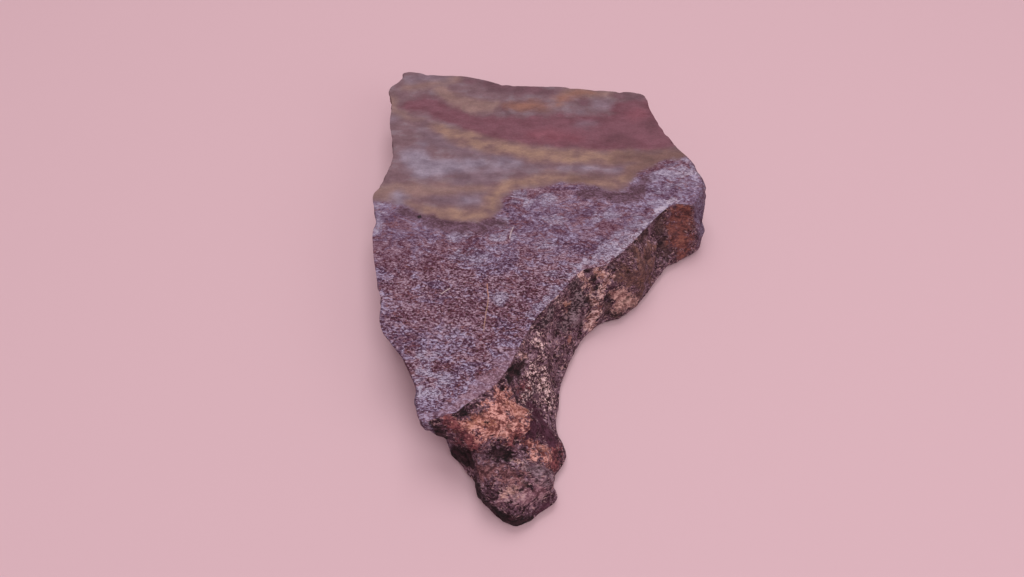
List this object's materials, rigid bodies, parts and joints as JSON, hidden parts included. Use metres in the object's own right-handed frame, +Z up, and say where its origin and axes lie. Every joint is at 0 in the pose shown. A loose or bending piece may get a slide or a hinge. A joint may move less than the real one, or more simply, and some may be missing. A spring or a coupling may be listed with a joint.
{
  "type": "rhyolite slab",
  "caption": "Sawn slab of banded rhyolite with a flat cut face, broken sides and a weathered rind that runs out into a rounded tongue; lies flat as a specimen or display piece.",
  "frame": {"origin": "under the middle of the slab's bounding box, on the plane of the sawn underside that it lies on", "axes": "+Z up out of the sawn top face, +Y along the length towards the wide far end, +X towards the right end of the weathered rind; the rounded tongue points to -Y"},
  "size_m": [0.0613, 0.0939, 0.011],
  "materials": {
    "rhyolite": "matt sawn face with gold, burgundy and lavender bands; rough brown and peach weathered rind"
  },
  "bodies": {
    "root": {"rhyolite_slab": "rhyolite"}
  },
  "joints": []
}
